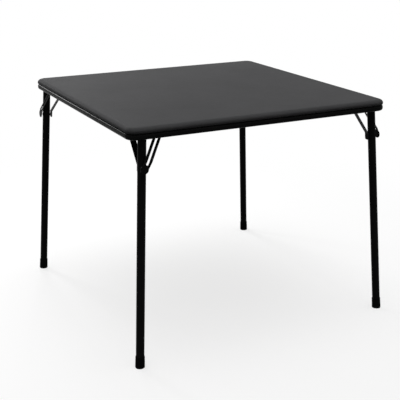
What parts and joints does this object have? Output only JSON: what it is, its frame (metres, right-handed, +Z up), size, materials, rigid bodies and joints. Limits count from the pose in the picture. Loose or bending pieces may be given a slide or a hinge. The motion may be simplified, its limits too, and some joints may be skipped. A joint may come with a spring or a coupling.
{
  "type": "folding card table",
  "caption": "Square padded card table with a rounded steel rim and round splayed legs that fold flat on braced corner hinges.",
  "frame": {"origin": "on the floor under the middle of the top", "axes": "+Z up, X and Y square to the top's sides, front at -Y"},
  "size_m": [0.9182, 0.9182, 0.7087],
  "materials": {
    "vinyl": "matte embossed vinyl",
    "foam": "open-cell foam",
    "hardboard": "smooth hardboard",
    "softwood": "planed",
    "black_steel": "satin powder coat",
    "zinc": "zinc plated",
    "foot_rubber": "matte moulded"
  },
  "bodies": {
    "top": {"vinyl_cover": "vinyl", "foam_pad": "foam", "top_board": "hardboard", "edge_batten": "softwood", "rim_frame": "black_steel", "rim_screws": "zinc", "bracket_screws": "zinc", "bracket_rivets": "zinc", "corner_bracket_front_left": "black_steel", "corner_bracket_front_right": "black_steel", "corner_bracket_back_right": "black_steel", "corner_bracket_back_left": "black_steel", "hinge_pin_front_left": "zinc", "hinge_pin_front_right": "zinc", "hinge_pin_back_right": "zinc", "hinge_pin_back_left": "zinc", "plain_stud_front_left": "zinc", "plain_stud_front_right": "zinc", "plain_stud_back_right": "zinc", "plain_stud_back_left": "zinc", "slotted_stud_front_left": "zinc", "slotted_stud_front_right": "zinc", "slotted_stud_back_right": "zinc", "slotted_stud_back_left": "zinc"},
    "leg_front_left": {"leg_tube_front_left": "black_steel", "hinge_sleeve_front_left": "black_steel", "pivot_rivet_front_left": "black_steel", "leg_foot_front_left": "foot_rubber"},
    "plain_arm_front_left": {"plain_arm_front_left": "black_steel"},
    "slotted_arm_front_left": {"slotted_arm_front_left": "black_steel"},
    "leg_front_right": {"leg_tube_front_right": "black_steel", "hinge_sleeve_front_right": "black_steel", "pivot_rivet_front_right": "black_steel", "leg_foot_front_right": "foot_rubber"},
    "plain_arm_front_right": {"plain_arm_front_right": "black_steel"},
    "slotted_arm_front_right": {"slotted_arm_front_right": "black_steel"},
    "leg_back_right": {"leg_tube_back_right": "black_steel", "hinge_sleeve_back_right": "black_steel", "pivot_rivet_back_right": "black_steel", "leg_foot_back_right": "foot_rubber"},
    "plain_arm_back_right": {"plain_arm_back_right": "black_steel"},
    "slotted_arm_back_right": {"slotted_arm_back_right": "black_steel"},
    "leg_back_left": {"leg_tube_back_left": "black_steel", "hinge_sleeve_back_left": "black_steel", "pivot_rivet_back_left": "black_steel", "leg_foot_back_left": "foot_rubber"},
    "plain_arm_back_left": {"plain_arm_back_left": "black_steel"},
    "slotted_arm_back_left": {"slotted_arm_back_left": "black_steel"}
  },
  "joints": [
    {"name": "leg_front_left_fold", "type": "hinge", "parent": "top", "child": "leg_front_left", "pos_m": [-0.3826, -0.4058, 0.676], "axis": [0.4695, -0.8829, 0], "range_deg": [0, 94.5]},
    {"name": "plain_arm_front_left_turn", "type": "hinge", "parent": "top", "child": "plain_arm_front_left", "pos_m": [-0.346, -0.38634, 0.677], "axis": [0.4695, -0.8829, 0], "range_deg": [0, 116.1]},
    {"name": "slotted_arm_front_left_turn", "type": "hinge", "parent": "top", "child": "slotted_arm_front_left", "pos_m": [-0.346, -0.38634, 0.677], "axis": [0.4695, -0.8829, 0], "range_deg": [0, 116.1]},
    {"name": "leg_front_right_fold", "type": "hinge", "parent": "top", "child": "leg_front_right", "pos_m": [0.4058, -0.3826, 0.676], "axis": [0.8829, 0.4695, 0], "range_deg": [0, 94.5]},
    {"name": "plain_arm_front_right_turn", "type": "hinge", "parent": "top", "child": "plain_arm_front_right", "pos_m": [0.38634, -0.346, 0.677], "axis": [0.8829, 0.4695, 0], "range_deg": [0, 116.1]},
    {"name": "slotted_arm_front_right_turn", "type": "hinge", "parent": "top", "child": "slotted_arm_front_right", "pos_m": [0.38634, -0.346, 0.677], "axis": [0.8829, 0.4695, 0], "range_deg": [0, 116.1]},
    {"name": "leg_back_right_fold", "type": "hinge", "parent": "top", "child": "leg_back_right", "pos_m": [0.3826, 0.4058, 0.676], "axis": [-0.4695, 0.8829, 0], "range_deg": [0, 94.5]},
    {"name": "plain_arm_back_right_turn", "type": "hinge", "parent": "top", "child": "plain_arm_back_right", "pos_m": [0.346, 0.38634, 0.677], "axis": [-0.4695, 0.8829, 0], "range_deg": [0, 116.1]},
    {"name": "slotted_arm_back_right_turn", "type": "hinge", "parent": "top", "child": "slotted_arm_back_right", "pos_m": [0.346, 0.38634, 0.677], "axis": [-0.4695, 0.8829, 0], "range_deg": [0, 116.1]},
    {"name": "leg_back_left_fold", "type": "hinge", "parent": "top", "child": "leg_back_left", "pos_m": [-0.4058, 0.3826, 0.676], "axis": [-0.8829, -0.4695, 0], "range_deg": [0, 94.5]},
    {"name": "plain_arm_back_left_turn", "type": "hinge", "parent": "top", "child": "plain_arm_back_left", "pos_m": [-0.38634, 0.346, 0.677], "axis": [-0.8829, -0.4695, 0], "range_deg": [0, 116.1]},
    {"name": "slotted_arm_back_left_turn", "type": "hinge", "parent": "top", "child": "slotted_arm_back_left", "pos_m": [-0.38634, 0.346, 0.677], "axis": [-0.8829, -0.4695, 0], "range_deg": [0, 116.1]}
  ],
  "couplings": [
    {"joint": "plain_arm_front_left_turn", "follows": "leg_front_left_fold", "ratio": 1.2275},
    {"joint": "slotted_arm_front_left_turn", "follows": "leg_front_left_fold", "ratio": 1.2275},
    {"joint": "plain_arm_front_right_turn", "follows": "leg_front_right_fold", "ratio": 1.2275},
    {"joint": "slotted_arm_front_right_turn", "follows": "leg_front_right_fold", "ratio": 1.2275},
    {"joint": "plain_arm_back_right_turn", "follows": "leg_back_right_fold", "ratio": 1.2275},
    {"joint": "slotted_arm_back_right_turn", "follows": "leg_back_right_fold", "ratio": 1.2275},
    {"joint": "plain_arm_back_left_turn", "follows": "leg_back_left_fold", "ratio": 1.2275},
    {"joint": "slotted_arm_back_left_turn", "follows": "leg_back_left_fold", "ratio": 1.2275}
  ]
}
